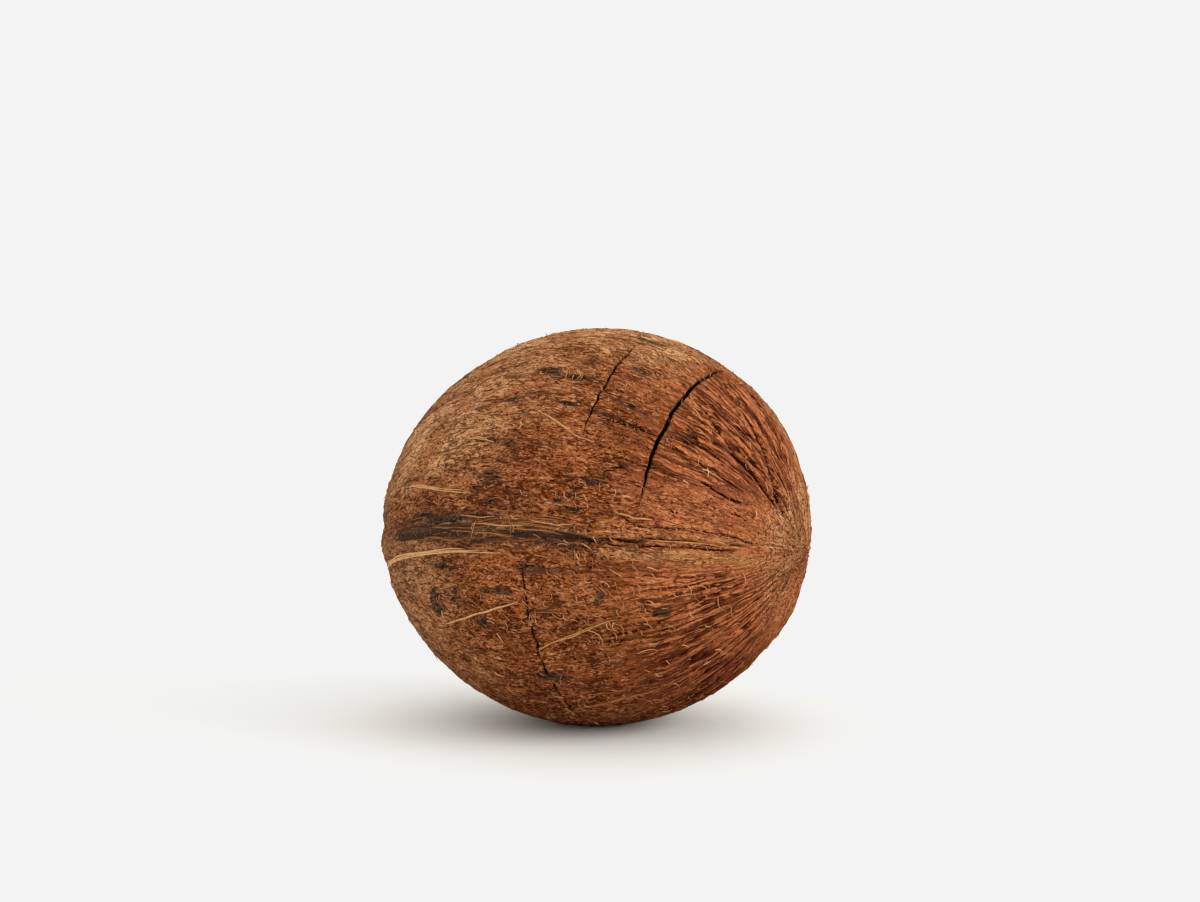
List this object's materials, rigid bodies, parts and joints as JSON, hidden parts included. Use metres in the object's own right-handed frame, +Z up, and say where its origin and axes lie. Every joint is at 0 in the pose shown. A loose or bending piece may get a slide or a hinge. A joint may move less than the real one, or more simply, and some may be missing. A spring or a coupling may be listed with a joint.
{
  "type": "coconut",
  "caption": "Whole ripe coconut without its husk: a brown fibre-coated shell with seams that meet at its tip and cracks across the grain, lying on its side.",
  "frame": {"origin": "middle of the small flat spot that the nut rests on, at the level of the surface below it", "axes": "+X along the nut towards its pointed tip, +Z up, -Y towards the side with the front seam"},
  "size_m": [0.119, 0.1104, 0.1061],
  "materials": {
    "coir_coat": "matte, fibrous"
  },
  "bodies": {
    "root": {"coconut": "coir_coat"}
  },
  "joints": []
}
